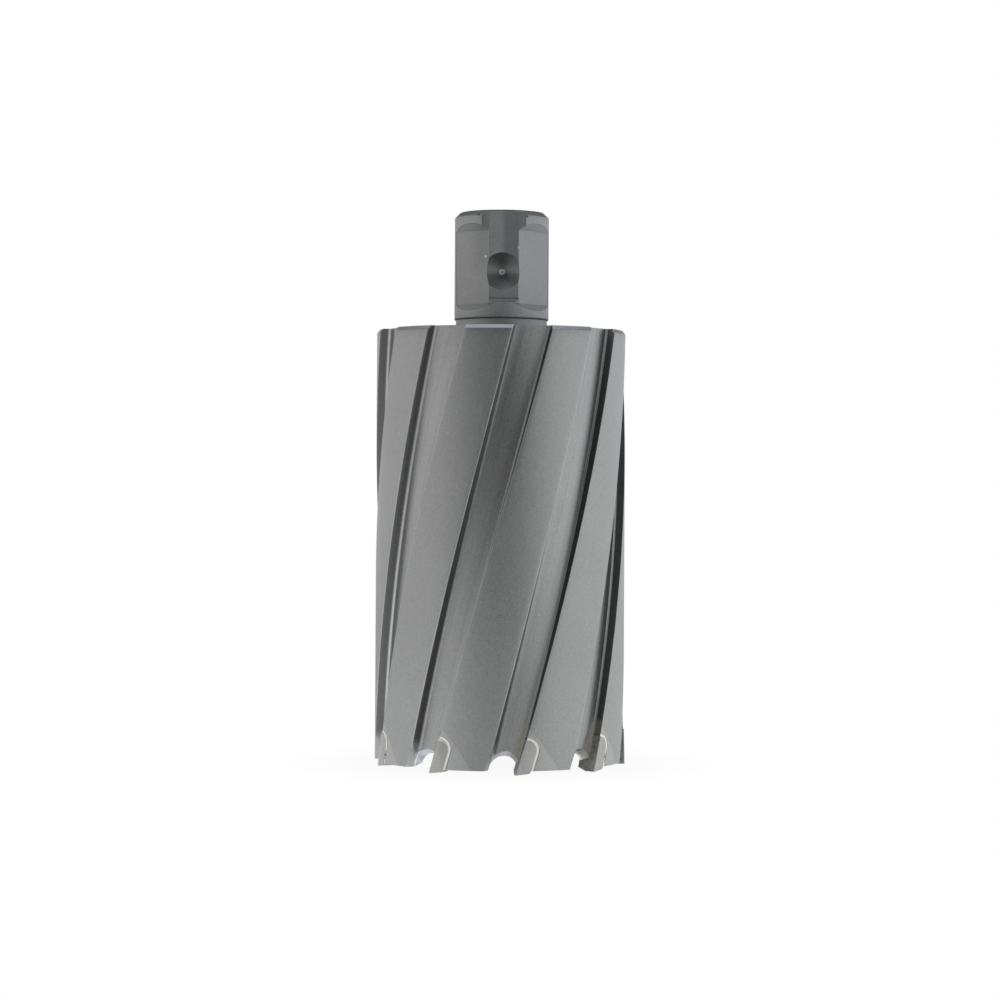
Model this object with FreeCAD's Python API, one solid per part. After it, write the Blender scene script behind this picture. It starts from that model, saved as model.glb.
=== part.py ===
import FreeCAD, Part
import math
import os

# A carbide tipped annular cutter, standing on its teeth. Millimetres and degrees. The origin is the
# centre of the cutting end, +Z runs up the axis, and angles count from the front, -Y, towards +X.

# Cutting circle and body
tooth_count = 9
cutting_diameter = 50.8
side_clearance = 0.25
core_clearance = 0.25
body_wall = 3.8
shoulder_height = 87.4
core_depth = 80.0
core_corner_chamfer = 1.2
shoulder_chamfer_width = 0.55
shoulder_chamfer_height = 0.75
rim_clearance = 0.8
rim_bevel_width = 2.0
rim_bevel_angle = 18.0

# Neck, shank and pilot bore
neck_diameter = 18.46
neck_length = 2.07
shank_diameter = 19.05
shank_length = 21.75
shank_chamfer_width = 1.1
shank_chamfer_height = 1.07
pilot_bore_diameter = 8.0
pilot_bore_chamfer = 0.5

# Locating flats, each with a detent dimple, open towards the end of the shank
locating_flat_count = 3
locating_flat_depth = 1.07
locating_flat_start = 3.22
locating_flat_foot_radius = 1.0
dimple_height = 9.42
dimple_diameter = 7.55
dimple_angle = 118.0
dimple_bottom_diameter = 1.3

# Set screw flats, one each side of the front locating flat
screw_flat_offset_angle = 45.0
screw_flat_depth = 1.47
screw_flat_start = 1.7
screw_flat_end = 17.65
screw_flat_top_ramp = 1.5
screw_flat_foot_ramp = 1.35

# Helical flutes
helix_lead = 562.5
first_edge_angle = 5.3
flute_angle_at_rim = 13.8
flute_angle_at_shoulder = 18.5
rake_wall_depth = 1.87
trailing_wall_depth = 2.0
trailing_wall_lean = 0.6
flute_foot_ledge = 0.3
flute_facet_angle = 8.0
flute_sections = 10

# Gullets
gullet_radius = 2.75
gullet_centre_ahead = 2.2
gullet_centre_height = 1.85
gullet_mouth = 5.45
gullet_slope_angle = 30.0
heel_bevel_height = 5.2
heel_bevel_angle = 1.3

# Carbide tips and their braze
tip_lead = 0.3
tip_width = 2.68
tip_height = 6.9
tip_tilt = 17.0
tip_corner_radius = 1.9
tip_relief_angle = 6.5
tip_heel_angle = 55.0
tip_edge_bevel_width = 2.0
tip_side_relief = 1.0
braze_thickness = 0.42

# Sizes that follow
origin = FreeCAD.Vector(0, 0, 0)
up = FreeCAD.Vector(0, 0, 1)
tooth_pitch = 360.0 / tooth_count
twist_per_mm = 360.0 / helix_lead
cutting_radius = cutting_diameter / 2
body_radius = cutting_radius - side_clearance
core_radius = body_radius - body_wall
neck_radius = neck_diameter / 2
shank_radius = shank_diameter / 2
pilot_bore_radius = pilot_bore_diameter / 2
tip_inner_radius = core_radius - core_clearance
neck_top = shoulder_height + neck_length
shank_top = neck_top + shank_length
overrun = body_wall


def polar(angle, radius, height):
    """A point at an angle from the front, a radius from the axis and a height."""
    swept = math.radians(angle)
    return FreeCAD.Vector(radius * math.sin(swept), -radius * math.cos(swept), height)


def polygon_face(points):
    """A flat face inside a closed outline of straight edges."""
    return Part.Face(Part.makePolygon(points + points[:1]))


def turned(shape, angle):
    """A copy of a shape, turned about the axis of the cutter."""
    copy = shape.copy()
    copy.rotate(origin, up, angle)
    return copy


def tooth_angle(index):
    """Where a tooth's leading edge stands at the cutting end."""
    return first_edge_angle + index * tooth_pitch


def trailing_angle(height):
    """Where a land's trailing edge meets the flute behind it, from the next leading edge's foot."""
    widening = (flute_angle_at_shoulder - flute_angle_at_rim) / shoulder_height
    return (twist_per_mm - widening) * height - flute_angle_at_rim


def turned_blank():
    """The body, neck and shank as they leave the lathe."""
    rim_rise = rim_bevel_width * math.tan(math.radians(rim_bevel_angle))
    outline = [
        FreeCAD.Vector(core_radius - core_corner_chamfer, 0, core_depth),
        FreeCAD.Vector(core_radius, 0, core_depth - core_corner_chamfer),
        FreeCAD.Vector(core_radius, 0, rim_clearance + rim_rise),
        FreeCAD.Vector(core_radius + rim_bevel_width, 0, rim_clearance),
        FreeCAD.Vector(body_radius, 0, rim_clearance),
        FreeCAD.Vector(body_radius, 0, shoulder_height - shoulder_chamfer_height),
        FreeCAD.Vector(body_radius - shoulder_chamfer_width, 0, shoulder_height),
        FreeCAD.Vector(neck_radius, 0, shoulder_height),
        FreeCAD.Vector(neck_radius, 0, neck_top),
        FreeCAD.Vector(shank_radius, 0, neck_top),
        FreeCAD.Vector(shank_radius, 0, shank_top - shank_chamfer_height),
        FreeCAD.Vector(shank_radius - shank_chamfer_width, 0, shank_top),
        FreeCAD.Vector(pilot_bore_radius + pilot_bore_chamfer, 0, shank_top),
        FreeCAD.Vector(pilot_bore_radius, 0, shank_top - pilot_bore_chamfer),
        FreeCAD.Vector(pilot_bore_radius, 0, core_depth),
    ]
    return polygon_face(outline).revolve(origin, up, 360)


def across_shank(outline):
    """A cutter that runs right across the front of the shank, from its outline seen from the side."""
    return Part.Face(outline).extrude(FreeCAD.Vector(2 * shank_radius, 0, 0))


def locating_flat():
    """The cutter of one locating flat, with the mill's corner radius at its foot, and its dimple."""
    side = -shank_radius
    plane = locating_flat_depth - shank_radius
    outer = plane - 2 * locating_flat_depth
    foot = neck_top + locating_flat_start
    head = shank_top + overrun
    radius = locating_flat_foot_radius
    inset = radius * (1 - math.sqrt(0.5))
    bend_end = FreeCAD.Vector(side, plane, foot + radius)
    bend_middle = FreeCAD.Vector(side, plane - inset, foot + inset)
    bend_start = FreeCAD.Vector(side, plane - radius, foot)
    straight = Part.makePolygon(
        [
            bend_end,
            FreeCAD.Vector(side, plane, head),
            FreeCAD.Vector(side, outer, head),
            FreeCAD.Vector(side, outer, foot),
            bend_start,
        ]
    )
    bend = Part.Arc(bend_start, bend_middle, bend_end).toShape()
    flat = across_shank(Part.Wire(straight.Edges + [bend]))
    rim_radius = dimple_diameter / 2
    bottom_radius = dimple_bottom_diameter / 2
    depth = (rim_radius - bottom_radius) / math.tan(math.radians(dimple_angle / 2))
    rim_centre = FreeCAD.Vector(0, plane, neck_top + dimple_height)
    dimple = Part.makeCone(rim_radius, bottom_radius, depth, rim_centre, FreeCAD.Vector(0, 1, 0))
    return flat.fuse(dimple)


def screw_flat():
    """The cutter of one set screw flat, ramped at both ends, on the front of the shank."""
    side = -shank_radius
    plane = screw_flat_depth - shank_radius
    foot = neck_top + screw_flat_start
    head = neck_top + screw_flat_end
    outline = [
        FreeCAD.Vector(side, plane, head),
        FreeCAD.Vector(side, plane - 2 * screw_flat_depth, head + 2 * screw_flat_top_ramp),
        FreeCAD.Vector(side, plane - 2 * screw_flat_depth, foot - screw_flat_foot_ramp),
        FreeCAD.Vector(side, plane, foot + screw_flat_foot_ramp),
    ]
    return across_shank(Part.makePolygon(outline + outline[:1]))


def flute_outline(height):
    """The section of one flute at a height, closed outside the body."""
    rake = twist_per_mm * height
    trailing = trailing_angle(height)
    rake_foot = body_radius - rake_wall_depth
    trailing_foot = body_radius - trailing_wall_depth
    lean = math.degrees(trailing_wall_lean / trailing_foot)
    ledge = math.degrees(flute_foot_ledge / trailing_foot)
    outside = body_radius + overrun
    outside_lean = lean * overrun / trailing_wall_depth
    facet = trailing + flute_facet_angle
    floor_end = rake - ledge
    rake_side = [
        polar(rake - ledge, rake_foot, height),
        polar(rake, rake_foot + flute_foot_ledge, height),
        polar(rake, outside, height),
    ]
    trailing_side = [
        polar(trailing - outside_lean, outside, height),
        polar(trailing + lean, trailing_foot + flute_foot_ledge, height),
        polar(trailing + lean + ledge, trailing_foot, height),
        polar(facet, trailing_foot, height),
    ]
    floor_middle = polar((facet + floor_end) / 2, trailing_foot, height)
    floor = Part.Arc(trailing_side[-1], floor_middle, rake_side[0]).toShape()
    straight = Part.makePolygon(rake_side + trailing_side)
    return Part.Wire(straight.Edges + [floor])


def flute():
    """The cutter of one helical flute, open at both ends of the body."""
    bottom = -overrun
    span = shoulder_height + 2 * overrun
    heights = [bottom + span * i / (flute_sections - 1) for i in range(flute_sections)]
    return Part.makeLoft([flute_outline(height) for height in heights], True)


def gullet():
    """The cutter of one chip gullet: an arch that falls towards the core."""
    centre = FreeCAD.Vector(-gullet_centre_ahead, 0, gullet_centre_height)
    below = -gullet_radius
    mouth_corner = FreeCAD.Vector(-gullet_mouth, 0, rim_clearance)
    away = mouth_corner - centre
    half_turn = math.acos(gullet_radius / away.Length)
    start = math.atan2(away.z, away.x) % (2 * math.pi) - half_turn
    right = centre + FreeCAD.Vector(gullet_radius, 0, 0)
    tangent = centre + FreeCAD.Vector(math.cos(start), 0, math.sin(start)) * gullet_radius
    crown = centre + FreeCAD.Vector(math.cos(start / 2), 0, math.sin(start / 2)) * gullet_radius
    outer_lean = (mouth_corner - tangent) * (gullet_radius / (tangent.z - mouth_corner.z))
    mouth_foot = mouth_corner + outer_lean
    outline = Part.Wire(
        [
            Part.makeLine(mouth_foot, tangent),
            Part.Arc(tangent, crown, right).toShape(),
            Part.makeLine(right, FreeCAD.Vector(right.x, 0, below)),
            Part.makeLine(FreeCAD.Vector(right.x, 0, below), mouth_foot),
        ]
    )
    slope = math.tan(math.radians(gullet_slope_angle))
    floor_radius = body_radius - trailing_wall_depth
    outside = body_radius + overrun
    length = 2 * overrun + body_wall
    outline.translate(FreeCAD.Vector(0, -outside, (outside - floor_radius) * slope))
    return Part.Face(outline).extrude(FreeCAD.Vector(0, length, -length * slope))


def heel_bevel():
    """The cutter that bevels the foot of a land's trailing wall."""
    top = rim_clearance + heel_bevel_height
    foot_radius = body_radius - trailing_wall_depth
    lean = math.degrees(trailing_wall_lean / foot_radius)
    foot_angle = trailing_angle(rim_clearance)
    crest = polar(trailing_angle(top), body_radius, top)
    outer = polar(foot_angle - heel_bevel_angle, body_radius, rim_clearance)
    inner = polar(foot_angle + lean, foot_radius, rim_clearance)
    down = (outer - crest) * (rim_clearance / heel_bevel_height)
    facet = polygon_face(
        [
            crest + (crest - inner),
            inner,
            inner + down,
            outer + (outer - inner) + down,
        ]
    )
    return facet.extrude(polar(foot_angle + 90, trailing_wall_depth, 0))


def tip_block(growth, heel):
    """A tip's block, radial and overlong; growth widens it at its back and top for the braze."""
    tilt = math.radians(tip_tilt)
    along = FreeCAD.Vector(math.sin(tilt), 0, math.cos(tilt))
    across = FreeCAD.Vector(math.cos(tilt), 0, -math.sin(tilt))
    edge = FreeCAD.Vector(-tip_lead, 0, 0)
    width = tip_width + growth
    length = tip_height / math.cos(tilt) + growth
    radius = tip_corner_radius + growth
    below = -rim_clearance / math.cos(tilt)
    corner_centre = edge + along * (length - radius) + across * (width - radius)
    side_end = corner_centre + across * radius
    corner_middle = corner_centre + (across + along).normalize() * radius
    top_end = corner_centre + along * radius
    head = edge + along * length
    foot = edge + along * below
    back_foot = edge + along * below + across * width
    if heel:
        rise = (rim_clearance + width * math.sin(tilt)) / math.cos(tilt)
        back = edge + across * width + along * rise
        slant = math.radians(tip_heel_angle)
        drop = back.z - foot.z
        back_foot = FreeCAD.Vector(back.x - drop / math.tan(slant), 0, foot.z)
        side = [foot, back_foot, back, side_end]
    else:
        side = [foot, back_foot, side_end]
    outline = Part.Wire(
        Part.makePolygon([top_end, head] + side).Edges
        + [Part.Arc(side_end, corner_middle, top_end).toShape()]
    )
    inside = core_radius - overrun
    outside = cutting_radius + overrun
    outline.translate(FreeCAD.Vector(0, -outside, 0))
    return Part.Face(outline).extrude(FreeCAD.Vector(0, outside - inside, 0))


def below_cutting_edge():
    """What grinding takes off under a tip: a bevelled edge line, carried back at the relief angle."""
    rise = math.tan(math.radians(rim_bevel_angle))
    bevel_start = tip_inner_radius + tip_edge_bevel_width
    inside = tip_inner_radius - overrun
    outside = cutting_radius + overrun
    below = -tip_height
    length = 3 * tip_width
    relief = math.tan(math.radians(tip_relief_angle))
    outline = polygon_face(
        [
            FreeCAD.Vector(-tip_lead, -outside, 0),
            FreeCAD.Vector(-tip_lead, -bevel_start, 0),
            FreeCAD.Vector(-tip_lead, -inside, (bevel_start - inside) * rise),
            FreeCAD.Vector(-tip_lead, -inside, below),
            FreeCAD.Vector(-tip_lead, -outside, below),
        ]
    )
    outline.translate(FreeCAD.Vector(-tip_width, 0, -tip_width * relief))
    return outline.extrude(FreeCAD.Vector(length, 0, length * relief))


def carbide_tip():
    """One tip, ground outside, inside and below."""
    reach = math.sqrt(cutting_radius**2 - tip_lead**2)
    ground_radius = math.sqrt(reach**2 + (tip_side_relief - tip_lead) ** 2)
    height = 2 * tip_height
    axis_foot = FreeCAD.Vector(-tip_side_relief, 0, -tip_height)
    ground_outside = Part.makeCylinder(ground_radius, 2 * height, axis_foot)
    core = Part.makeCylinder(tip_inner_radius, 2 * height, FreeCAD.Vector(0, 0, -tip_height))
    tip = tip_block(0, True).common(ground_outside)
    return tip.cut(core).cut(below_cutting_edge())


def braze_seam(blank, flute_cutter):
    """The braze behind and above one tip, flush with the body's walls."""
    seam = tip_block(braze_thickness, False).cut(tip_block(0, False))
    return seam.common(blank).cut(flute_cutter)


def write(shape, name):
    """One node's file."""
    shape.exportStep(os.path.join("parts", name + ".step"))
    print(name, shape.isValid(), len(shape.Solids), round(shape.Volume, 2))


os.makedirs("parts", exist_ok=True)

# The tools of one tooth stand at angle 0, with its leading edge in front, and are turned to each tooth
blank = turned_blank()
flute_cutter = flute()
tip = carbide_tip()
seam = braze_seam(blank, flute_cutter)
tooth_cutters = [flute_cutter, gullet(), heel_bevel(), tip_block(braze_thickness, False)]

# The body: the turned blank less the shank's flats, the flutes, the gullets and the pockets
shank_cutters = [turned(locating_flat(), i * 360.0 / locating_flat_count) for i in range(locating_flat_count)]
shank_cutters += [turned(screw_flat(), side * screw_flat_offset_angle) for side in (-1, 1)]
body = blank.cut(shank_cutters)
for cutter in tooth_cutters:
    body = body.cut([turned(cutter, tooth_angle(i)) for i in range(tooth_count)])
write(body, "cutter_body")

# The tips and their braze, one pair to a tooth
for i in range(tooth_count):
    write(turned(tip, tooth_angle(i)), f"carbide_tip_{i + 1}")
    write(turned(seam, tooth_angle(i)), f"braze_seam_{i + 1}")
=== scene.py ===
import math

import bmesh
import bpy
import numpy as np
from mathutils import Matrix, Vector


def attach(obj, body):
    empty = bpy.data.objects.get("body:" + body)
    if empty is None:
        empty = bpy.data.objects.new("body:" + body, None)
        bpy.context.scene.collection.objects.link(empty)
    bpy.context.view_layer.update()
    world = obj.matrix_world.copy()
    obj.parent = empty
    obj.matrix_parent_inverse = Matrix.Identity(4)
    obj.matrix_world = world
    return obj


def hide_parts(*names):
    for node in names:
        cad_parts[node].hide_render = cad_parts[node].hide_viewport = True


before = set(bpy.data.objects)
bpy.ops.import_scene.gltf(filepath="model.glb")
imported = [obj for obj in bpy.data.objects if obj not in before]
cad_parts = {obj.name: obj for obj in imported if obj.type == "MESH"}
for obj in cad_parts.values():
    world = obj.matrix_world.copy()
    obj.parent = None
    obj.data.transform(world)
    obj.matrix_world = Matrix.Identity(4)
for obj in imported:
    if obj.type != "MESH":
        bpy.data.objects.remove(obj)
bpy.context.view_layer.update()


# The view and the studio. The cutter stands on its teeth on a pale table, seen from its middle's
# height. Two broad lights stand at its sides, and the room behind the camera is dim.
view_distance = 0.5565
view_height = 0.0566
view_turn = math.radians(-2.7)
view_roll = math.radians(0.315)

camera = bpy.data.objects.new("camera", bpy.data.cameras.new("camera"))
bpy.context.scene.collection.objects.link(camera)
camera.data.lens = 98.86
camera.data.sensor_width = 36
camera.data.shift_x = -0.00054
camera.data.shift_y = -0.0168
standpoint = (view_distance * math.sin(view_turn), -view_distance * math.cos(view_turn), view_height)
place = Matrix.Translation(standpoint)
aim = Matrix.Rotation(view_turn, 4, "Z") @ Matrix.Rotation(math.radians(90), 4, "X")
camera.matrix_world = place @ aim @ Matrix.Rotation(view_roll, 4, "Z")
bpy.context.scene.camera = camera
bpy.context.scene.view_settings.view_transform = "Standard"


class Wire:
    """A node's output. Arithmetic on it adds Math nodes, and add() puts in any other node."""

    def __init__(self, tree, socket):
        self.tree = tree
        self.socket = socket

    @classmethod
    def add(cls, tree, kind, settings=None, inputs=None, output=0):
        node = tree.nodes.new(kind)
        for name, value in (settings or {}).items():
            if name == "stops":
                while len(node.color_ramp.elements) < len(value):
                    node.color_ramp.elements.new(0.5)
                for element, (position, shade) in zip(node.color_ramp.elements, value):
                    element.position = position
                    element.color = (*shade, 1) if isinstance(shade, tuple) else (shade, shade, shade, 1)
            else:
                setattr(node, name, value)
        for key, value in (inputs or {}).items():
            if isinstance(value, Wire):
                tree.links.new(value.socket, node.inputs[key])
            else:
                node.inputs[key].default_value = value
        return cls(tree, node.outputs[output])

    def math(self, operation, *others):
        operands = dict(enumerate((self, *others)))
        return Wire.add(self.tree, "ShaderNodeMath", {"operation": operation}, operands)

    def __add__(self, other):
        return self.math("ADD", other)

    def __sub__(self, other):
        return self.math("SUBTRACT", other)

    def __mul__(self, other):
        return self.math("MULTIPLY", other)

    def __truediv__(self, other):
        return self.math("DIVIDE", other)

    def __rsub__(self, other):
        return self.math("MULTIPLY", -1).math("ADD", other)

    __radd__ = __add__
    __rmul__ = __mul__

    def step(self, low, high):
        """0 below low and 1 above high, or the other way round, with a soft change between."""
        return Wire.add(
            self.tree,
            "ShaderNodeMapRange",
            {"interpolation_type": "SMOOTHSTEP"},
            {"Value": self, "From Min": low, "From Max": high},
        )

    def mix(self, low, high):
        """The colour low where this is 0 and high where it is 1."""
        first_colour, second_colour = 6, 7
        colours = {"Factor": self}
        for key, colour in ((first_colour, low), (second_colour, high)):
            colours[key] = colour if isinstance(colour, Wire) else (*colour, 1)
        return Wire.add(self.tree, "ShaderNodeMix", {"data_type": "RGBA"}, colours, 2)

    def axes(self):
        """The x, y and z of a vector."""
        whole = Wire.add(self.tree, "ShaderNodeSeparateXYZ", inputs={0: self})
        return [Wire(self.tree, socket) for socket in whole.socket.node.outputs]


world = bpy.data.worlds.new("studio")
world.use_nodes = True
bpy.context.scene.world = world
sky = world.node_tree
side, depth, height = Wire.add(sky, "ShaderNodeTexCoord", output="Generated").axes()
level = (side * side + depth * depth + 0.0001).math("SQRT")
facing = depth / level * 0.5 + 0.5 + (side / level).step(0.15, 0.6) * 0.08
room = Wire.add(
    sky,
    "ShaderNodeValToRGB",
    {
        "stops": [
            (0.0, (0.13, 0.13, 0.13)),
            (0.03, (0.25, 0.25, 0.25)),
            (0.09, (0.58, 0.58, 0.58)),
            (0.25, (1.1, 1.1, 1.09)),
            (0.5, (1.02, 1.02, 1.01)),
            (0.8, (0.95, 0.95, 0.94)),
            (1.0, (1.0, 1.0, 1.0)),
        ]
    },
    {0: facing},
)
cooler = Wire.add(
    sky,
    "ShaderNodeMix",
    {"data_type": "RGBA", "blend_type": "MULTIPLY"},
    {0: 1.0, 6: room, 7: (1.08, 1.1, 1.13, 1)},
    2,
)
room = (side / level).step(0.1, 0.7).mix(room, cooler)
above_sight = height.step(0.0, 0.14) * 0.16 + height.step(-0.03, 0.3) * 0.5
below_sight = height.step(0.0, -0.2) * 0.35
kept_light = 1 - above_sight - below_sight
room = Wire.add(sky, "ShaderNodeVectorMath", {"operation": "SCALE"}, {0: room, "Scale": kept_light})
room = height.step(0.7, 0.92).mix(room, (0.85, 0.86, 0.89))
seen = Wire.add(sky, "ShaderNodeLightPath", output="Is Camera Ray")
sky.links.new(seen.mix(room, (1, 1, 1)).socket, sky.nodes["Background"].inputs["Color"])


def area_light(name, place, size, power):
    """A soft light that faces the middle of the cutter."""
    data = bpy.data.lights.new(name, "AREA")
    data.shape = "RECTANGLE"
    data.size, data.size_y = size
    data.energy = power
    light = bpy.data.objects.new(name, data)
    bpy.context.scene.collection.objects.link(light)
    light.location = place
    toward = Vector((0, 0, 0.06)) - Vector(place)
    light.rotation_euler = toward.to_track_quat("-Z", "Y").to_euler()


softbox_size = (1.4, 0.7)
area_light("left_softbox", (-1.0, 0.1, 0.15), softbox_size, 0.3)
area_light("right_softbox", (1.0, 0.1, 0.15), softbox_size, 0.55)

table_radius = 0.8
floor_mesh = bpy.data.meshes.new("table")
floor_sheet = bmesh.new()
bmesh.ops.create_circle(floor_sheet, cap_ends=True, segments=96, radius=table_radius)
floor_sheet.to_mesh(floor_mesh)
table = bpy.data.objects.new("table", floor_mesh)
bpy.context.scene.collection.objects.link(table)
table_paint = bpy.data.materials.new("table paint")
table_paint.use_nodes = True
paint = table_paint.node_tree
# The table is white to the camera, with a faint shadow of the cutter near it. To reflections it glows,
# brighter near the cutter and towards its sides: painted light that the metal reflects.
spot = Wire.add(paint, "ShaderNodeTexCoord", output="Object")
reach = Wire.add(paint, "ShaderNodeVectorMath", {"operation": "LENGTH"}, {0: spot}, "Value")
camera_ray = Wire.add(paint, "ShaderNodeLightPath", output="Is Camera Ray")
glossy_ray = Wire.add(paint, "ShaderNodeLightPath", output="Is Glossy Ray")
beside = spot.axes()[0] / (reach + 0.001)
aside = beside.step(0.2, 0.8) * 0.6 + beside.step(-0.2, -0.8) * 0.25
brightness = camera_ray.math("MAXIMUM", reach.step(0.3, 0.06) * 0.4 + 0.38 + aside).math("MINIMUM", 1)
plain = Wire.add(paint, "ShaderNodeEmission", inputs={"Color": brightness.mix((0, 0, 0), (1, 1, 1))})
matte = Wire.add(paint, "ShaderNodeBsdfDiffuse", inputs={"Color": (0.9, 0.9, 0.91, 1)})
clear = reach.step(0.02, 0.05) * 0.07 + 0.93
glow = (clear * camera_ray).math("MAXIMUM", glossy_ray * 0.85)
blend = Wire.add(paint, "ShaderNodeMixShader", inputs={0: glow, 1: matte, 2: plain})
paint.links.new(blend.socket, paint.nodes["Material Output"].inputs["Surface"])
floor_mesh.materials.append(table_paint)


# The cutter's body: one piece of tool steel, turned to its outline, with nine helical flutes milled
# into its wall, gullets and tip pockets at its rim, and flats and dimples milled into its shank. It is
# blasted all over, and its rim is ground together with the tips.
tooth_count = 9
body_radius = 25.15
core_radius = 21.35
core_depth = 80.0
core_chamfer = 1.2
shoulder = 87.4
shoulder_chamfer = (0.55, 0.75)
rim = 0.8
rim_bevel = (2.0, 0.65)
neck_radius = 9.23
neck_top = 89.47
shank_radius = 9.525
shank_top = 111.22
shank_chamfer = (1.1, 1.07)
bore_radius = 4.0
bore_chamfer = 0.5
twist = 360 / 562.5
first_edge = 5.3
flute_width = (13.8, 18.5)
flute_facet = 8.0
rake_depth = 1.87
trailing_depth = 2.0
trailing_lean = 0.42
foot_ledge = 0.3
trailing_ledge = (0.4, 0.6)
floor_radius = body_radius - trailing_depth
locating_depth = 1.07
gullet_radius = 2.75
gullet_centre = (-2.2, 1.85)
gullet_mouth = 5.45
gullet_slope = math.tan(math.radians(30))
heel_height = 5.2
heel_angle = 1.3
tip_tilt = math.radians(17)
tip_width = 2.68
tip_height = 6.9
tip_corner = 1.9
tip_overhang = 0.3
braze_thickness = 0.42
overrun = 4
gullet_mark, heel_mark, pocket_mark, flat_mark, dimple_mark, point_mark = range(1, 7)
mm = 0.001


def eased(corners, step=None):
    """A line through corners (x, y, radius) with each corner rounded, and long runs divided."""
    points = [Vector(corners[0][:2])]
    for before, (x, y, radius), after in zip(corners, corners[1:], corners[2:]):
        corner = Vector((x, y))
        back = (Vector(before[:2]) - corner).normalized()
        ahead = (Vector(after[:2]) - corner).normalized()
        bend = math.pi - back.angle(ahead)
        if radius == 0 or bend < 0.02:
            points.append(corner)
            continue
        reach = radius * math.tan(bend / 2)
        middle = corner + (back + ahead).normalized() * radius / math.cos(bend / 2)
        start = corner + back * reach - middle
        turn = math.copysign(bend, back.x * ahead.y - back.y * ahead.x)
        pieces = max(2, round(abs(bend) / math.radians(20)))
        for i in range(pieces + 1):
            points.append(middle + Matrix.Rotation(-turn * i / pieces, 2) @ start)
    points.append(Vector(corners[-1][:2]))
    if step is None:
        return points
    divided = [points[0]]
    for a, b in zip(points, points[1:]):
        parts = max(1, math.ceil((b - a).length / step))
        divided += [a.lerp(b, i / parts) for i in range(1, parts + 1)]
    return divided


def point_cloud(name, points):
    """An object that only carries points for the body's node tree to look up."""
    mesh = bpy.data.meshes.new(name)
    mesh.from_pydata(points, [], [])
    return bpy.data.objects.new(name, mesh)


def flute_section():
    """One tooth's pitch of the body's outside: the angle and radius of each point, in radians and mm."""
    pitch = 360 / tooth_count
    rake_foot = body_radius - rake_depth
    lean = math.degrees(trailing_lean / floor_radius)
    ledge = math.degrees(foot_ledge / floor_radius)
    wide_ledge = math.degrees(trailing_ledge[0] / floor_radius)
    trailing = pitch - flute_width[0]
    middle = trailing / 2
    corners = [
        (middle, body_radius, 0),
        (trailing, body_radius, 0.14),
        (trailing + lean, floor_radius + trailing_ledge[1], 0.1),
        (trailing + lean + wide_ledge, floor_radius, 0.1),
        (trailing + flute_facet, floor_radius, 0.5),
        (pitch - ledge - 2.2, floor_radius + 0.02, 1.0),
        (pitch - ledge, rake_foot, 0.1),
        (pitch, rake_foot + foot_ledge, 0.1),
        (pitch, body_radius, 0.12),
        (pitch + middle, body_radius, 0),
    ]
    unit = body_radius * math.radians(1)
    line = eased([(angle * unit, radius, ease) for angle, radius, ease in corners], 1.3)
    stays = [middle, trailing, trailing + flute_facet, pitch - ledge, pitch, pitch + middle]
    shares = [0.5, 1, 1, 0, 0, 0.5]
    points = []
    for point in line[:-1]:
        angle = point.x / unit
        points.append((math.radians(angle), point.y * mm, float(np.interp(angle, stays, shares))))
    return points


def turned_outline():
    """The closed line that the lathe follows, as radii and heights in mm, from the bore round to it."""
    corners = [
        (bore_radius, core_depth + 5, 0),
        (bore_radius, core_depth, 0.2),
        (core_radius - core_chamfer, core_depth, 0.2),
        (core_radius, core_depth - core_chamfer, 0.2),
        (core_radius, rim + rim_bevel[1], 0),
        (core_radius + rim_bevel[0], rim, 0),
        (body_radius, rim, 0),
        (body_radius, shoulder - shoulder_chamfer[1], 0.2),
        (body_radius - shoulder_chamfer[0], shoulder, 0.2),
        (neck_radius, shoulder, 0.25),
        (neck_radius, neck_top, 0.05),
        (shank_radius, neck_top, 0.28),
        (shank_radius, shank_top - shank_chamfer[1], 0.2),
        (shank_radius - shank_chamfer[0], shank_top, 0.2),
        (bore_radius + bore_chamfer, shank_top, 0.1),
        (bore_radius, shank_top - bore_chamfer, 0.1),
        (bore_radius, core_depth + 5, 0),
    ]
    return [(point.x * mm, 0, point.y * mm) for point in eased(corners, 1.6)]


def prism_faces(count):
    """The faces between two outlines of count points, one after the other, with both ends closed."""
    sides = [(i, (i + 1) % count, count + (i + 1) % count, count + i) for i in range(count)]
    return [tuple(range(count))[::-1], tuple(range(count, 2 * count)), *sides]


def prism(name, outline, start, along, finish):
    """A cutter: a flat outline of x and z in mm, moved to start and swept along a vector. Its faces
    carry the number of the finish that they leave."""
    mesh = bpy.data.meshes.new(name)
    count = len(outline)
    near = [(Vector((x, 0, z)) + start) * mm for x, z in outline]
    far = [point + along * mm for point in near]
    mesh.from_pydata(near + far, [], prism_faces(count))
    outward(mesh, finish)
    return bpy.data.objects.new(name, mesh)


def outward(mesh, finish):
    """Turns a closed mesh's faces outwards, and marks them with the number of the finish they leave."""
    shape = bmesh.new()
    shape.from_mesh(mesh)
    bmesh.ops.recalc_face_normals(shape, faces=shape.faces)
    shape.to_mesh(mesh)
    shape.free()
    marks = mesh.attributes.new("finish", "FLOAT", "FACE")
    marks.data.foreach_set("value", [finish] * len(mesh.polygons))


def arc(centre, radius, first, last, count):
    """Points of an arc in the plane of x and z."""
    angles = [first + (last - first) * i / count for i in range(count + 1)]
    return [(centre[0] + radius * math.cos(a), centre[1] + radius * math.sin(a)) for a in angles]


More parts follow.
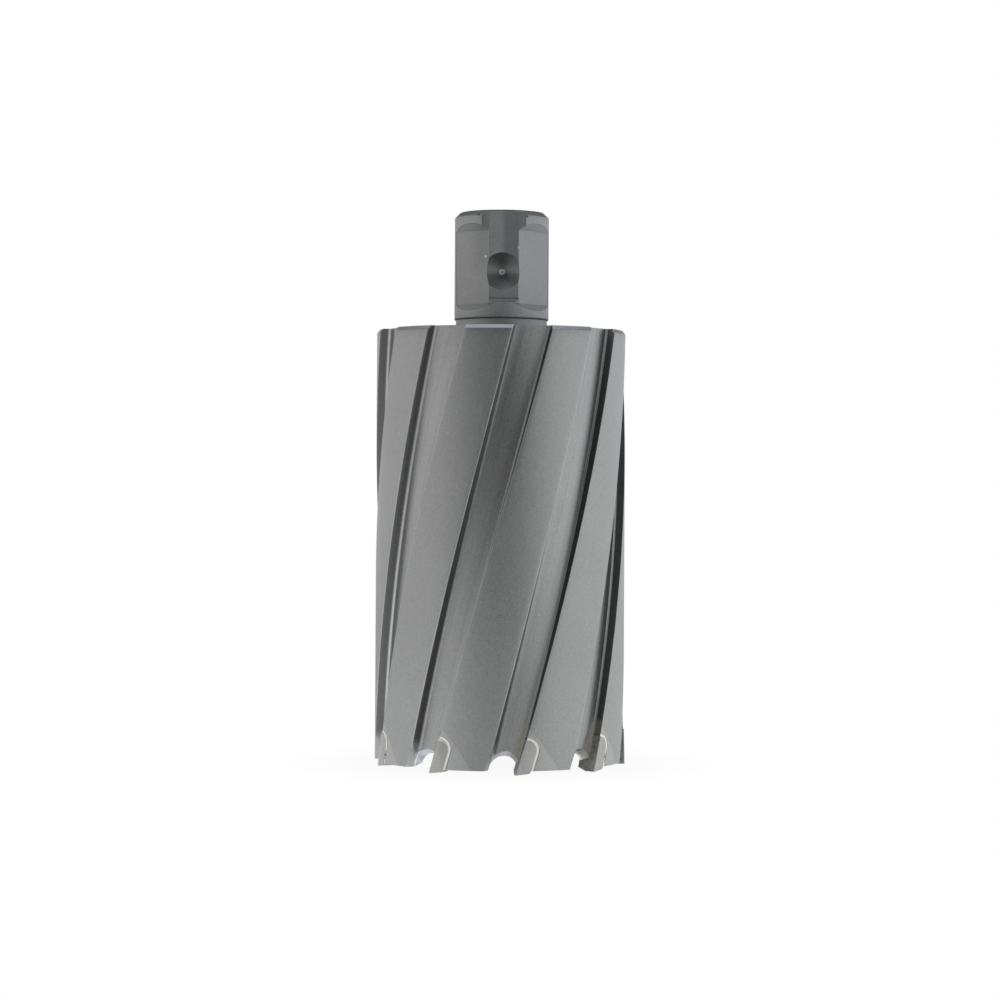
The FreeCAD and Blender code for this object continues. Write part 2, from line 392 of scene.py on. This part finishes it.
def gullet_cutter():
    """The arch between two teeth. It falls towards the core, and its left leg flares to its mouth."""
    centre = Vector(gullet_centre)
    mouth = Vector((-gullet_mouth, rim))
    away = mouth - centre
    start = math.atan2(away.y, away.x) % (2 * math.pi) - math.acos(gullet_radius / away.length)
    tangent = centre + gullet_radius * Vector((math.cos(start), math.sin(start)))
    foot = mouth + (mouth - tangent) * gullet_radius / (tangent.y - mouth.y)
    crown = arc(centre, gullet_radius, start, 0, 32)
    outline = [tuple(foot), *crown, (centre.x + gullet_radius, foot.y)]
    outside = body_radius + overrun
    length = outside - core_radius + overrun
    begin = Vector((0, -outside, (outside - floor_radius) * gullet_slope))
    along = Vector((0, length, -length * gullet_slope))
    return prism("gullet_cutter", outline, begin, along, gullet_mark)


def around(angle, radius, height):
    """A point in mm, from its angle in degrees, its radius and its height."""
    turn = math.radians(angle)
    return Vector((radius * math.sin(turn), -radius * math.cos(turn), height))


def heel_cutter():
    """What bevels the foot of a land's trailing wall."""
    top = rim + heel_height
    widening = (flute_width[1] - flute_width[0]) / shoulder
    foot = (twist - widening) * rim - flute_width[0]
    head = (twist - widening) * top - flute_width[0]
    crest = around(head, body_radius, top)
    outer = around(foot - heel_angle, body_radius, rim)
    inner = around(foot + math.degrees(trailing_lean / floor_radius), floor_radius, rim)
    down = (outer - crest) * (rim / heel_height)
    facet = [crest * 2 - inner, inner, inner + down, outer * 2 - inner + down]
    away = around(foot + 90, trailing_depth, 0)
    points = [point * mm for point in facet + [corner + away for corner in facet]]
    mesh = bpy.data.meshes.new("heel_cutter")
    mesh.from_pydata(points, [], prism_faces(len(facet)))
    outward(mesh, heel_mark)
    return bpy.data.objects.new("heel_cutter", mesh)


def pocket_cutter():
    """The pocket of a tip and its braze, tilted with the flute."""
    cosine = math.cos(tip_tilt)
    sine = math.sin(tip_tilt)
    width = tip_width + braze_thickness
    length = tip_height / cosine + braze_thickness
    radius = tip_corner + braze_thickness
    below = -rim / cosine
    corner = arc((width - radius, length - radius), radius, 0, math.pi / 2, 10)
    upright = [(0, below), (width, below), *corner, (0, length)]
    outline = [
        (across * cosine + along * sine - tip_overhang, along * cosine - across * sine)
        for across, along in upright
    ]
    inside = core_radius - overrun
    outside = body_radius + overrun
    begin = Vector((0, -outside, 0))
    return prism("pocket_cutter", outline, begin, Vector((0, outside - inside, 0)), pocket_mark)


def across_shank(name, outline):
    """What mills a flat on the shank's front: its outline from the side, in depths and heights."""
    points = [
        Vector((x, depth - shank_radius, neck_top + height)) * mm
        for x in (-shank_radius, shank_radius)
        for depth, height in outline
    ]
    count = len(outline)
    mesh = bpy.data.meshes.new(name)
    mesh.from_pydata(points, [], prism_faces(count))
    outward(mesh, flat_mark)
    return bpy.data.objects.new(name, mesh)


def locating_cutter():
    """The flat that runs out of the shank's top, with the mill's corner radius at its foot."""
    foot = 3.22
    radius = 1.0
    above = shank_top - neck_top + 3
    bend = arc((locating_depth - radius, foot + radius), radius, -math.pi / 2, 0, 8)
    rest = [(locating_depth, above), (-locating_depth, above), (-locating_depth, foot)]
    return across_shank("locating_cutter", [*bend, *rest])


def screw_cutter():
    """The flat that takes a set screw, ramped at both ends."""
    depth = 1.47
    foot = 1.7
    head = 17.65
    foot_ramp = 1.35
    top_ramp = 1.5
    outline = [
        (depth, foot + foot_ramp),
        (depth, head),
        (-depth, head + 2 * top_ramp),
        (-depth, foot - foot_ramp),
    ]
    return across_shank("screw_cutter", outline)


def dimple_cutter():
    """A drilled cone with a small blunt bottom, as it would stand in front."""
    plane = shank_radius - locating_depth
    height = neck_top + 9.42
    beside = -0.25
    slant = math.tan(math.radians(59))
    rim_radius = 7.55 / 2
    bottom_radius = 0.6
    drill_point = 0.15
    depth = (rim_radius - bottom_radius) / slant
    bottom = [(bottom_radius, depth), (drill_point, depth + 0.03), (0, depth + 0.15)]
    line = [(0, -1), (rim_radius + slant, -1), *bottom]
    shape = bmesh.new()
    ends = []
    for radius, inward in line:
        ends.append(shape.verts.new(Vector((beside + radius, inward - plane, height)) * mm))
    edges = [shape.edges.new(pair) for pair in zip(ends, ends[1:])]
    centre = Vector((beside, 0, height)) * mm
    turned = {"cent": centre, "axis": (0, 1, 0), "angle": 2 * math.pi, "steps": 72}
    bmesh.ops.spin(shape, geom=ends + edges, **turned)
    bmesh.ops.remove_doubles(shape, verts=shape.verts, dist=1e-7)
    mesh = bpy.data.meshes.new("dimple_cutter")
    shape.to_mesh(mesh)
    shape.free()
    outward(mesh, dimple_mark)
    for face, mark in zip(mesh.polygons, mesh.attributes["finish"].data):
        across = (face.center - centre).xz.length / mm
        if drill_point < across < bottom_radius:
            mark.value = point_mark
    return bpy.data.objects.new("dimple_cutter", mesh)


def input_wires(tree, inputs):
    """Gives a node tree its named inputs and an output, and returns the inputs' wires by name."""
    for name, kind in inputs.items():
        tree.interface.new_socket(name, in_out="INPUT", socket_type=kind)
    tree.interface.new_socket("Geometry", in_out="OUTPUT", socket_type="NodeSocketGeometry")
    group = tree.nodes.new("NodeGroupInput")
    return {name: Wire(tree, group.outputs[name]) for name in inputs}


def milled(tree, geometry, cutter, count, first, apart):
    """The geometry less a cutter that is repeated about the axis, an angle apart from a first one."""
    index = Wire.add(tree, "GeometryNodeInputIndex")
    turn = Wire.add(tree, "ShaderNodeCombineXYZ", inputs={"Z": index * apart + first})
    points = Wire.add(tree, "GeometryNodePoints", inputs={"Count": count})
    shape = Wire.add(tree, "GeometryNodeObjectInfo", inputs={"Object": cutter}, output="Geometry")
    copies = Wire.add(
        tree,
        "GeometryNodeInstanceOnPoints",
        inputs={"Points": points, "Instance": shape, "Rotation": turn},
    )
    whole = Wire.add(tree, "GeometryNodeRealizeInstances", inputs={0: copies})
    return Wire.add(
        tree,
        "GeometryNodeMeshBoolean",
        {"operation": "DIFFERENCE", "solver": "EXACT"},
        {"Mesh 1": geometry, "Mesh 2": whole},
    )


def body_tree(columns, rows, section_size):
    """The tree that wraps a grid round the turned outline, no further out than the fluted section."""
    tree = bpy.data.node_groups.new("fluted body", "GeometryNodeTree")
    milling = ["Gullet", "Heel bevel", "Pocket", "Locating flat", "Screw flat", "Dimple"]
    kinds = {name: "NodeSocketObject" for name in ["Section", "Outline", *milling]}
    kinds.update({name: "NodeSocketFloat" for name in ["Pitch", "Twist", "Widening", "First edge"]})
    kinds["Teeth"] = "NodeSocketInt"
    kinds["Steel"] = "NodeSocketMaterial"
    given = input_wires(tree, kinds)

    grid_size = {"Size X": columns, "Size Y": rows, "Vertices X": columns + 1, "Vertices Y": rows + 1}
    grid = Wire.add(tree, "GeometryNodeMeshGrid", inputs=grid_size)
    x, y = Wire.add(tree, "GeometryNodeInputPosition").axes()[:2]
    column = (x + columns / 2).math("ROUND")
    row = (y + rows / 2).math("ROUND")

    def looked_up(source, index):
        """The three numbers that a point cloud carries at an index."""
        cloud = Wire.add(tree, "GeometryNodeObjectInfo", inputs={"Object": source}, output="Geometry")
        carried = Wire.add(tree, "GeometryNodeInputPosition")
        settings = {"data_type": "FLOAT_VECTOR", "domain": "POINT"}
        wires = {"Geometry": cloud, "Value": carried, "Index": index}
        return Wire.add(tree, "GeometryNodeSampleIndex", settings, wires).axes()

    on_section = column.math("FLOORED_MODULO", section_size)
    angle, milled_radius, share = looked_up(given["Section"], on_section)
    turned = looked_up(given["Outline"], row)
    height = turned[2]
    pitches = (column / section_size + 0.0001).math("FLOOR")
    twisted = height * (given["Twist"] - share * given["Widening"])
    turn = given["First edge"] + pitches * given["Pitch"] + angle + twisted
    radius = milled_radius.math("MINIMUM", turned[0])
    place = Wire.add(
        tree,
        "ShaderNodeCombineXYZ",
        inputs={"X": turn.math("SINE") * radius, "Y": turn.math("COSINE") * radius * -1, "Z": height},
    )
    weld_distance = 0.002 * mm
    shape = Wire.add(tree, "GeometryNodeSetPosition", inputs={"Geometry": grid, "Position": place})
    shape = Wire.add(
        tree,
        "GeometryNodeMergeByDistance",
        inputs={"Geometry": shape, "Distance": weld_distance},
    )
    third = math.radians(120)
    screw_turn = math.radians(45)
    shape = milled(tree, shape, given["Locating flat"], 3, 0.0, third)
    shape = milled(tree, shape, given["Screw flat"], 2, -screw_turn, 2 * screw_turn)
    shape = milled(tree, shape, given["Dimple"], 3, 0.0, third)
    for name in ("Gullet", "Heel bevel", "Pocket"):
        shape = milled(tree, shape, given[name], given["Teeth"], given["First edge"], given["Pitch"])
    shape = Wire.add(tree, "GeometryNodeRealizeInstances", inputs={0: shape})
    shape = Wire.add(
        tree,
        "GeometryNodeSetMaterial",
        inputs={"Geometry": shape, "Material": given["Steel"]},
    )
    out = tree.nodes.new("NodeGroupOutput")
    tree.links.new(shape.socket, out.inputs[0])
    return tree


def plain_mesh(name, tree, values):
    """Runs a node tree with its named inputs and returns the result as an object with a plain mesh."""
    holder = bpy.data.objects.new(name, bpy.data.meshes.new(name))
    bpy.context.scene.collection.objects.link(holder)
    modifier = holder.modifiers.new("shape", "NODES")
    modifier.node_group = tree
    for item in tree.interface.items_tree:
        if item.in_out == "INPUT":
            modifier[item.identifier] = values[item.name]
    graph = bpy.context.evaluated_depsgraph_get()
    mesh = bpy.data.meshes.new_from_object(holder.evaluated_get(graph))
    holder.modifiers.remove(modifier)
    holder.data = mesh
    return holder


class Paint:
    """A material that wires drive. It gives them the place on the object, whole and in mm."""

    def __init__(self, name):
        self.material = bpy.data.materials.new(name)
        self.material.use_nodes = True
        self.tree = self.material.node_tree
        self.shader = self.tree.nodes["Principled BSDF"]
        self.spot = Wire.add(self.tree, "ShaderNodeTexCoord", output="Object")
        self.x, self.y, self.z = [part / mm for part in self.spot.axes()]

    def noise(self, scale, detail=2.0, stretch=None):
        """A soft pattern of 0 to 1, at a scale per metre, or per unit of another place."""
        settings = {"Vector": stretch or self.spot, "Scale": scale, "Detail": detail}
        return Wire.add(self.tree, "ShaderNodeTexNoise", inputs=settings)

    def near(self, x, y, z, size):
        """A soft spot of a size in mm round a place."""
        away = (self.x - x) * (self.x - x) + (self.y - y) * (self.y - y) + (self.z - z) * (self.z - z)
        return away.math("SQRT").step(size, size * 0.5)

    def around_axis(self):
        """The distance from the cutter's axis in mm, and the turn about it in degrees from the front."""
        radius = (self.x * self.x + self.y * self.y).math("SQRT")
        return radius, self.x.math("ARCTAN2", self.y * -1) / math.radians(1)

    def vector(self, x, y, z):
        """A vector or a colour of three numbers or wires."""
        return Wire.add(self.tree, "ShaderNodeCombineXYZ", inputs={"X": x, "Y": y, "Z": z})

    def scaled(self, colour, factor):
        """A colour made lighter or darker by a wire."""
        settings = {"operation": "SCALE"}
        return Wire.add(self.tree, "ShaderNodeVectorMath", settings, {0: colour, "Scale": factor})

    def use(self, colour, roughness, grain, height, metallic=1.0):
        """Joins the wires to the shader, with the grain as relief of a height in m."""
        self.tree.links.new(colour.socket, self.shader.inputs["Base Color"])
        self.tree.links.new(roughness.socket, self.shader.inputs["Roughness"])
        relief = {"Height": grain, "Strength": 0.5, "Distance": height}
        bump = Wire.add(self.tree, "ShaderNodeBump", inputs=relief)
        self.tree.links.new(bump.socket, self.shader.inputs["Normal"])
        if isinstance(metallic, Wire):
            self.tree.links.new(metallic.socket, self.shader.inputs["Metallic"])
        else:
            self.shader.inputs["Metallic"].default_value = metallic


def body_steel():
    """Blasted steel with painted shade in the flutes and painted highlights at the edges, ground and
    stained at the teeth.
    """
    steel = Paint("blasted tool steel")
    z = steel.z
    degree = math.radians(1)
    pitch = 360 / tooth_count
    radius, turn = steel.around_axis()

    # Places on a tooth, in mm along the circumference: behind its own edge, ahead to the next edge,
    # and from its land's trailing edge
    behind = (turn - z * twist - first_edge).math("FLOORED_MODULO", pitch)
    from_edge = behind * radius * degree
    ahead = (pitch - behind) * radius * degree
    widening = (flute_width[1] - flute_width[0]) / shoulder
    from_trailing = (behind - (pitch - flute_width[0]) + z * widening) * radius * degree
    finish = Wire.add(steel.tree, "ShaderNodeAttribute", {"attribute_name": "finish"}, output="Fac")

    def cut_by(mark):
        return (finish - mark).math("ABSOLUTE").step(0.4, 0.2)

    # The cup's surfaces: lands, the shoulder's chamfer, each flute's floor, walls and ledges, and the
    # thin lines along the walls' feet that get painted highlights
    cup = z.step(shoulder + 0.05, shoulder - 0.05) * radius.step(core_radius + 0.3, core_radius + 0.6)
    chamfer_rise = (z - (shoulder - shoulder_chamfer[1])).math("MAXIMUM", 0)
    skin = radius + chamfer_rise * (shoulder_chamfer[0] / shoulder_chamfer[1]) - body_radius
    land = skin.step(-0.15, -0.05) * cup
    chamfer = land * chamfer_rise.step(0.0, 0.1)
    rise = radius - floor_radius
    floor = rise.step(0.35, 0.15) * cup
    milled_away = (1 - cut_by(gullet_mark)) * (1 - cut_by(heel_mark))
    wall = (1 - land) * rise.step(0.35, 0.47) * cup * milled_away
    rake_wall = wall * ahead.step(4.0, 3.0)
    trailing_side = cup * ahead.step(3.5, 4.0)
    ledge = rise.step(0.05, 0.15) * rise.step(0.45, 0.35) * trailing_side
    foot_highlight = rise.step(0.02, 0.07) * rise.step(0.27, 0.17) * trailing_side
    rake_foot_highlight = (ahead - foot_ledge).math("ABSOLUTE").step(0.14, 0.05) * rise.step(0.3, 0.2) * cup
    shank = z.step(shoulder + 0.1, shoulder + 0.3)

    # The grain of the blasting, the mill's streaks along a flute, and uneven places
    fine = steel.noise(5200, 2.0)
    grain = steel.noise(2300, 3.0)
    cloud = steel.noise(70, 3.0)
    streaks = steel.noise(1.0, 3.0, steel.vector(from_edge * 2.2, z * 0.02, radius * 0.5))
    patchy = steel.noise(160, 3.0).step(0.35, 0.65)
    blotches = steel.noise(700, 3.0).step(0.4, 0.6)
    speckle = steel.noise(1500, 4.0).step(0.42, 0.6)

    # The cup's tone, with painted shade on the flute walls and painted highlights on ledges and edges
    tone = 0.4 + (grain - 0.5) * 0.15 + (fine - 0.5) * 0.17 + (cloud - 0.5) * 0.05
    tone = tone * (1 - floor * 0.08) * (1 + floor * (streaks - 0.5) * 0.35)
    # Painted shade darkens the flute walls, the trailing walls only above their lowest few mm; the rake
    # walls are then made lighter overall
    shaded = wall * (1 - ledge) * (rake_wall + z.step(4.6, 6.9)).math("MINIMUM", 1)
    tone = tone * (1 - shaded * 0.56 + rake_wall * 1.3)
    # Painted highlights on the ledges at the trailing walls' feet, on a thin line along each such foot
    # and on a thin line along each rake wall's foot
    tone = tone * (1 + ledge * 0.3 + foot_highlight * 0.4 + rake_foot_highlight * 0.35)
    tone = tone * (1 + shank * 0.16)
    # Painted highlights along both edges of each land, uneven in strength
    edge = land * (from_edge.step(0.26, 0.1) + from_trailing.math("ABSOLUTE").step(0.26, 0.1))
    tone = tone + edge * (patchy + 0.5) * 0.1
    tone = tone * (1 + chamfer * 0.15)
    ground_height = 8.95
    ground_top = ground_height - from_edge * 0.8 - from_edge * from_edge * 0.02
    ground = land * (ground_top - z).step(0.0, 0.25)
    tone = tone + ground * 0.05
    # The gullets lighter: partly their own finish and partly a painted reflection of the bright table
    # that they face; the heel bevels lighter as well
    tone = tone * (1 + cut_by(gullet_mark) * (0.2 + blotches * 0.5)) * (1 + cut_by(heel_mark) * 0.15)

    # The shank's tone: its flats and their edges, painted shade in the dimple and at the locating flat's
    # foot, painted light and shade across that flat's top, the chamfer at its top and a painted shadow
    # line under its foot
    flats = cut_by(flat_mark)
    flat_edge = flats * radius.step(shank_radius - 0.16, shank_radius - 0.06)
    tone = tone * (1 - flats * 0.08) * (1 - flat_edge * 0.3)
    # Painted shade in the dimple, darkest at its top and lightest to its right
    dimple_shade = 0.7 - steel.x.step(-1.5, 2.0) * 0.14 + z.step(99.2, 101.0) * 0.1
    tone = tone * (1 - cut_by(dimple_mark) * dimple_shade) * (1 + cut_by(point_mark) * 0.35)
    # Painted shade at the foot of the locating flat, where the mill's corner radius leaves a hollow
    flat_foot_shade = z.step(neck_top + 4.4, neck_top + 4.1) * steel.x.math("ABSOLUTE").step(3.2, 2.9)
    tone = tone * (1 - flats * steel.y.step(-7.0, -8.0) * flat_foot_shade * 0.3)
    # Painted light and shade across the top of the locating flat: lighter at its left, darker at its
    # right
    high = z.step(97.5, 101.0)
    front = flats * steel.y.step(-8.3, -8.4)
    tone = tone * (1 + front * high * (steel.x.step(0.7, -0.7) * 0.3 - 0.24))
    left_flat = flats * steel.x.step(-8.0, -4.0) * steel.x.step(-2.5, -3.2)
    tone = tone * (1 - left_flat * (0.08 + high * 0.1))
    chamfer_foot = shank_top - shank_chamfer[1]
    top_chamfer = z.step(chamfer_foot, chamfer_foot + 0.1) * (1 - flats) * radius.step(8.0, 8.3)
    crest = z.step(shank_top - 0.3, shank_top - 0.15)
    tone = tone * (1 - top_chamfer * 0.5) * (1 - crest * 0.4)
    # A painted shadow along the bottom of the shank, just over the neck
    shadow_under_foot = z.step(neck_top + 0.4, neck_top + 0.25) * z.step(neck_top - 0.1, neck_top)
    tone = tone * (1 - shadow_under_foot * radius.step(9.25, 9.3) * 0.6)

    # Small bright dots all over, bright nicks and dark pits on the shank
    dots = Wire.add(
        steel.tree,
        "ShaderNodeTexVoronoi",
        {"voronoi_dimensions": "2D"},
        {"Vector": steel.vector(turn * (body_radius * degree), z, 0.0), "Scale": 0.075},
        "Distance",
    )
    tone = tone + dots.step(0.018, 0.01) * (cup + shank) * patchy * 0.12
    nicks = steel.near(-3.67, -7.8, 101.91, 0.32) + steel.near(2.95, -8.43, 103.7, 0.3) * 0.6
    pits = steel.near(-8.48, -3.8, 92.3, 0.25) + steel.near(3.06, -8.5, 93.45, 0.28)
    pits = pits + steel.near(-5.02, -7.95, 110.25, 0.35) + steel.near(4.59, -8.25, 109.9, 0.35)
    tone = (tone + nicks * 0.5) * (1 - pits * 0.7)

    # The colour: a bluer cast on the gullets, the shoulder's chamfer and towards the right of the shank,
    # flux stains in front of the tips, braze drops in two gullets and a brown line where the braze meets
    # the body
    colour = steel.scaled(steel.vector(0.985, 1.0, 0.995), tone)
    blue = cut_by(gullet_mark) + chamfer + shank * steel.x.step(-4.0, 6.0) * 0.5
    colour = blue.math("MINIMUM", 1).mix(colour, steel.scaled(steel.vector(0.96, 0.985, 1.05), tone))
    stain_height = {"floor": 10.9, "wall": 9.6}
    stain_reach = (stain_height["floor"] - z).math("MAXIMUM", 0).math("SQRT") * 0.7
    floor_stain = (stain_reach - ahead).step(-0.1, 0.2) * floor
    beside_edge = (ahead.step(2.5, 2.0) + behind.step(0.5, 0.3)).math("MINIMUM", 1)
    below_top = stain_height["wall"] - z + (cloud - 0.5) * 2
    wall_stain = below_top.step(-0.3, 0.4) * wall * beside_edge
    colour = (floor_stain * (0.6 + speckle * 0.35)).mix(colour, (0.56, 0.54, 0.44))
    colour = (wall_stain * (0.6 + speckle * 0.35)).mix(colour, (0.27, 0.265, 0.215))
    drops = steel.near(2.7, -22.4, 3.1, 0.5) + steel.near(15.9, -15.6, 2.7, 0.5)
    drops = drops + steel.near(16.8, -15.9, 4.0, 0.4)
    colour = (drops * blotches).mix(colour, (0.85, 0.83, 0.74))
    off_tip = (from_edge - z * 0.025 - 3.02).math("ABSOLUTE").step(0.24, 0.1)
    brown_line = off_tip * land * z.step(5.4, 4.6) * (0.3 + speckle * 0.5)
    colour = brown_line.mix(colour, (0.2, 0.185, 0.14))

    roughness = 0.42 + (grain - 0.5) * 0.12 - floor * 0.1 + shank * 0.18
    roughness = roughness - ground * 0.04 - cut_by(dimple_mark) * 0.25
    dull = (floor_stain + wall_stain + rake_wall * 0.6).math("MINIMUM", 1)
    steel.use(colour, roughness, fine + grain, 0.00004, metallic=1 - dull * 0.75)
    return steel.material


steel = body_steel()

section = flute_section()
outline = turned_outline()
cutters = {
    "Section": point_cloud("section", section),
    "Outline": point_cloud("outline", outline),
    "Gullet": gullet_cutter(),
    "Heel bevel": heel_cutter(),
    "Pocket": pocket_cutter(),
    "Locating flat": locating_cutter(),
    "Screw flat": screw_cutter(),
    "Dimple": dimple_cutter(),
}
sizes = {
    "Teeth": tooth_count,
    "Pitch": math.radians(360 / tooth_count),
    "Twist": math.radians(twist) / mm,
    "Widening": math.radians((flute_width[1] - flute_width[0]) / shoulder) / mm,
    "First edge": math.radians(first_edge),
    "Steel": steel,
}
tree = body_tree(tooth_count * len(section), len(outline) - 1, len(section))
body = plain_mesh("cutter_body_steel", tree, {**cutters, **sizes})
for cutter in cutters.values():
    bpy.data.objects.remove(cutter)
body.data.shade_smooth()
body.data.set_sharp_from_angle(angle=math.radians(30))
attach(body, "root")
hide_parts("cutter_body")


# The nine tips: blocks of sintered carbide, each brazed into its pocket. They stand out a little from
# the body all round, and are ground outside and below once they are in place. Their meshes come from
# the solids, with the edges rounded.
rounding_width = 0.04 * mm


def carbide():
    """Ground carbide, a warm grey, lighter along the cutting edge and stained on the rake face."""
    face = Paint("ground carbide")
    radius, turn = face.around_axis()
    lead = 10
    spot_behind = (turn - first_edge + lead).math("FLOORED_MODULO", 360 / tooth_count) - lead
    beside = spot_behind * radius * math.radians(1)
    across = beside - face.z * math.tan(tip_tilt)
    grain = face.noise(4200, 3.0)
    cloud = face.noise(260, 3.0)
    tone = 0.61 + (grain - 0.5) * 0.08 + (cloud - 0.5) * 0.08
    tone = tone + across.step(0.9, 0.2) * 0.04
    colour = face.scaled(face.vector(1.0, 0.99, 0.955), tone)

    # Braze that ran over the top of a tip, thickest on the second one from the left
    from_rake = (across + tip_overhang) * math.cos(tip_tilt)
    up = (beside + tip_overhang) * math.sin(tip_tilt) + face.z * math.cos(tip_tilt)
    past = (from_rake - (tip_width - tip_corner)).math("MAXIMUM", 0)
    above = (up - (tip_height / math.cos(tip_tilt) - tip_corner)).math("MAXIMUM", 0)
    inside = tip_corner - (past * past + above * above).math("SQRT")
    thick = face.near(-12.4, -21.9, 6.9, 5.0) * (0.52 - from_rake * 0.17) + (cloud - 0.4) * 0.3
    run = (thick - inside).step(0.0, 0.06) * radius.step(25.0, 25.1) * above.step(0.0, 0.6)
    colour = run.mix(colour, (0.96, 0.94, 0.84))
    rake = across.step(-0.22, -0.27) * radius.step(25.3, 25.1)
    speckle = face.noise(1300, 4.0).step(0.38, 0.62)
    colour = (rake * (0.6 + speckle * 0.4)).mix(colour, (0.28, 0.278, 0.235))
    face.use(colour, 0.5 + (grain - 0.5) * 0.1, grain, 0.00002, metallic=0.5 + run * 0.5)
    return face.material


def rounded(node, name, width):
    """A copy of a CAD node's mesh with its edges rounded."""
    mesh = node.data.copy()
    shape = bmesh.new()
    shape.from_mesh(mesh)
    bmesh.ops.remove_doubles(shape, verts=shape.verts, dist=1e-7)
    shape.to_mesh(mesh)
    shape.free()
    piece = bpy.data.objects.new(name, mesh)
    bpy.context.scene.collection.objects.link(piece)
    bevel = piece.modifiers.new("rounding", "BEVEL")
    bevel.width = width
    bevel.segments = 2
    bevel.limit_method = "ANGLE"
    bevel.angle_limit = math.radians(40)
    graph = bpy.context.evaluated_depsgraph_get()
    finished = bpy.data.meshes.new_from_object(piece.evaluated_get(graph))
    piece.modifiers.remove(bevel)
    piece.data = finished
    finished.shade_smooth()
    finished.set_sharp_from_angle(angle=math.radians(35))
    return piece


carbide_paint = carbide()
for number in range(1, tooth_count + 1):
    tip = rounded(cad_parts[f"carbide_tip_{number}"], f"ground_tip_{number}", rounding_width)
    tip.data.materials.clear()
    tip.data.materials.append(carbide_paint)
    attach(tip, "root")
    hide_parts(f"carbide_tip_{number}")


# The braze: a thin bright layer of silver solder that holds each tip in its pocket. It melted into the
# joint, is ground flush outside, and has small dark pits low down.
def braze():
    """Silver solder, ivory where it is ground and dark brown inside the flute."""
    solder = Paint("silver braze")
    grain = solder.noise(2600, 3.0)
    pits = solder.noise(900, 2.0).step(0.62, 0.68) * solder.z.step(4.6, 2.4)
    tone = 1.0 + (grain - 0.5) * 0.25
    colour = solder.scaled(solder.vector(1.0, 0.985, 0.89), tone)
    colour = pits.mix(colour, (0.06, 0.05, 0.035))
    radius = solder.around_axis()[0]
    colour = (radius.step(25.1, 25.0) * 0.9).mix(colour, (0.16, 0.155, 0.12))
    solder.use(colour, 0.45 + grain * 0.1, grain, 0.00005)
    return solder.material


braze_paint = braze()
for number in range(1, tooth_count + 1):
    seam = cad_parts[f"braze_seam_{number}"]
    seam.data.materials.clear()
    seam.data.materials.append(braze_paint)
